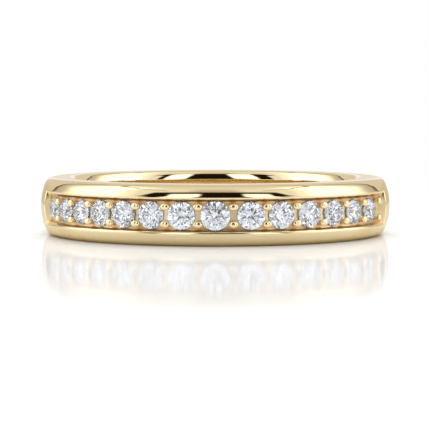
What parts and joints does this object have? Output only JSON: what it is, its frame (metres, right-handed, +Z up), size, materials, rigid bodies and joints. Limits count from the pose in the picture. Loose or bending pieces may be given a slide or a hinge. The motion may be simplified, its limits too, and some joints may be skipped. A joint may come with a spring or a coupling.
{
  "type": "half eternity band ring",
  "caption": "Domed gold finger ring with a channel across its front that holds a row of bead-set round brilliants; lies on its side.",
  "frame": {"origin": "on the axis of the finger hole, in the plane of the flat side that the ring lies on", "axes": "+Z up along the finger hole, -Y out through the middle of the row of stones, +X to the right as the row is seen from the front"},
  "size_m": [0.021, 0.021, 0.0034],
  "materials": {
    "yellow_gold": "high polish",
    "diamond": "polished facets"
  },
  "bodies": {
    "root": {"band": "yellow_gold", "stone_01": "diamond", "stone_02": "diamond", "stone_03": "diamond", "stone_04": "diamond", "stone_05": "diamond", "stone_06": "diamond", "stone_07": "diamond", "stone_08": "diamond", "stone_09": "diamond", "stone_10": "diamond", "stone_11": "diamond", "stone_12": "diamond", "stone_13": "diamond", "stone_14": "diamond"}
  },
  "joints": []
}
